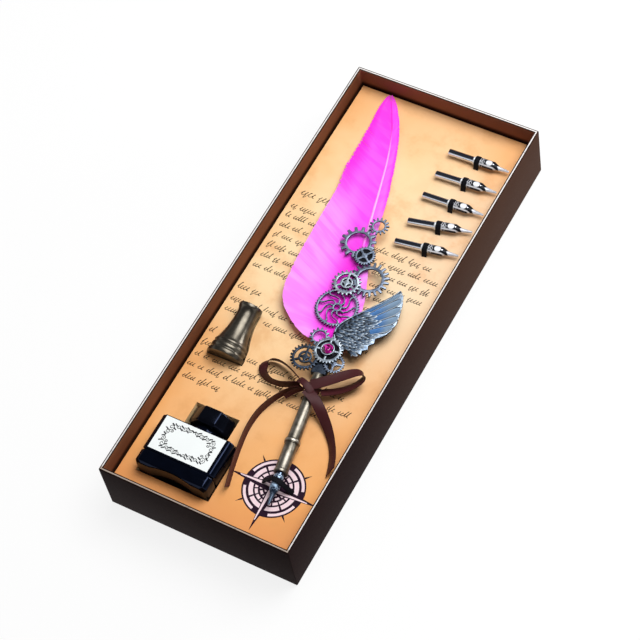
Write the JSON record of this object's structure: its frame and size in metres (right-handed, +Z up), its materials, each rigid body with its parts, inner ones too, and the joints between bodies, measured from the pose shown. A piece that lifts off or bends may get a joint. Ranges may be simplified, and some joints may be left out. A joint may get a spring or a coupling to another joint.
{
  "type": "quill pen gift box",
  "caption": "Open paperboard tray with a parchment insert holding a gear-decorated feather pen, spare nibs under elastic loops, a capped ink bottle and a turned pen stand.",
  "frame": {"origin": "middle of the tray's underside", "axes": "+Y along the tray's length to the feather's tip, +X to the spare nibs' side, +Z up out of the tray"},
  "size_m": [0.115, 0.29, 0.0375],
  "materials": {
    "greyboard": "raw greyboard",
    "wrap_paper": "dark brown textured paper, slight sheen",
    "lining_paper": "plain black paper",
    "foam": "dark closed-cell foam",
    "parchment": "mottled parchment print, matt",
    "elastic": "ribbed black elastic",
    "dark_chrome": "dark polished plating",
    "nib_steel": "bright plated steel",
    "antique_bronze": "antique bronze plating",
    "gunmetal": "gunmetal plating",
    "worn_silver": "worn silver plating",
    "wing_silver": "antique silver plating",
    "jewel": "foiled magenta glass",
    "quill": "pale dyed quill",
    "feather": "dyed feather",
    "satin_ribbon": "dark satin",
    "black_glass": "black glossy glass",
    "ink": "wet black ink",
    "label_paper": "matt white paper",
    "cap_plastic": "black glossy moulding",
    "liner": "white foam plastic",
    "stand_brass": "antique brass plating"
  },
  "bodies": {
    "tray": {"tray_base_board": "greyboard", "tray_left_wall": "greyboard", "tray_right_wall": "greyboard", "tray_front_wall": "greyboard", "tray_back_wall": "greyboard", "tray_wrap": "wrap_paper", "tray_bottom_sheet": "lining_paper"},
    "insert": {"insert_foam": "foam", "parchment_card": "parchment", "pen_loop": "elastic", "nib_loop_1": "elastic", "nib_loop_2": "elastic", "nib_loop_3": "elastic", "nib_loop_4": "elastic", "nib_loop_5": "elastic"},
    "pen": {"pen_grip": "antique_bronze", "pen_barrel": "antique_bronze", "pen_mid_ring": "antique_bronze", "pen_mouth_ring": "antique_bronze", "pen_end_plate": "gunmetal", "gear_top_ring": "gunmetal", "gear_spiked_ring": "gunmetal", "gear_crossed": "gunmetal", "gear_coarse_ring": "gunmetal", "gear_double_ring": "worn_silver", "gear_spiral": "gunmetal", "gear_small_ring": "gunmetal", "gear_left": "gunmetal", "gear_jewel": "worn_silver", "gear_right": "gunmetal", "jewel_bezel": "worn_silver", "jewel": "jewel", "wing_charm": "wing_silver", "feather_shaft": "quill", "feather_vane": "feather", "ribbon_knot": "satin_ribbon", "ribbon_left_loop": "satin_ribbon", "ribbon_right_loop": "satin_ribbon", "ribbon_left_tail": "satin_ribbon", "ribbon_right_tail": "satin_ribbon"},
    "pen_nib": {"pen_nib_shank": "dark_chrome", "pen_nib_blade": "nib_steel"},
    "bottle": {"ink_bottle": "black_glass", "ink": "ink", "bottle_label": "label_paper"},
    "cap_seal": {"cap_liner": "liner"},
    "cap": {"bottle_cap": "cap_plastic"},
    "stand": {"pen_stand": "stand_brass"},
    "spare_nib_1": {"nib_shank_1": "dark_chrome", "nib_blade_1": "nib_steel"},
    "spare_nib_2": {"nib_shank_2": "dark_chrome", "nib_blade_2": "nib_steel"},
    "spare_nib_3": {"nib_shank_3": "dark_chrome", "nib_blade_3": "nib_steel"},
    "spare_nib_4": {"nib_shank_4": "dark_chrome", "nib_blade_4": "nib_steel"},
    "spare_nib_5": {"nib_shank_5": "dark_chrome", "nib_blade_5": "nib_steel"}
  },
  "joints": [
    {"name": "insert_lift", "type": "slide", "parent": "tray", "child": "insert", "axis": [0, 0, 1], "range_m": [0, 0.05]},
    {"name": "pen_lift", "type": "slide", "parent": "insert", "child": "pen", "axis": [0, 0, 1], "range_m": [0, 0.05], "deforming": ["pen_loop"]},
    {"name": "nib_pull", "type": "slide", "parent": "pen", "child": "pen_nib", "axis": [0.1719, -0.9851, 0], "range_m": [0, 0.02]},
    {"name": "bottle_lift", "type": "slide", "parent": "insert", "child": "bottle", "axis": [0, 0, 1], "range_m": [0, 0.05]},
    {"name": "cap_rise", "type": "slide", "parent": "bottle", "child": "cap_seal", "axis": [0, 1, 0], "range_m": [0, 0.0015]},
    {"name": "cap_turn", "type": "hinge", "parent": "cap_seal", "child": "cap", "pos_m": [-0.0224, -0.09, 0.01975], "axis": [0, 1, 0], "range_deg": [0, 360]},
    {"name": "stand_lift", "type": "slide", "parent": "insert", "child": "stand", "axis": [0, 0, 1], "range_m": [0, 0.05]},
    {"name": "spare_nib_1_lift", "type": "slide", "parent": "insert", "child": "spare_nib_1", "axis": [0, 0, 1], "range_m": [0, 0.05], "deforming": ["nib_loop_1"]},
    {"name": "spare_nib_2_lift", "type": "slide", "parent": "insert", "child": "spare_nib_2", "axis": [0, 0, 1], "range_m": [0, 0.05], "deforming": ["nib_loop_2"]},
    {"name": "spare_nib_3_lift", "type": "slide", "parent": "insert", "child": "spare_nib_3", "axis": [0, 0, 1], "range_m": [0, 0.05], "deforming": ["nib_loop_3"]},
    {"name": "spare_nib_4_lift", "type": "slide", "parent": "insert", "child": "spare_nib_4", "axis": [0, 0, 1], "range_m": [0, 0.05], "deforming": ["nib_loop_4"]},
    {"name": "spare_nib_5_lift", "type": "slide", "parent": "insert", "child": "spare_nib_5", "axis": [0, 0, 1], "range_m": [0, 0.05], "deforming": ["nib_loop_5"]}
  ],
  "couplings": [
    {"joint": "cap_rise", "follows": "cap_turn", "m_per_rad": 0.00023873}
  ]
}
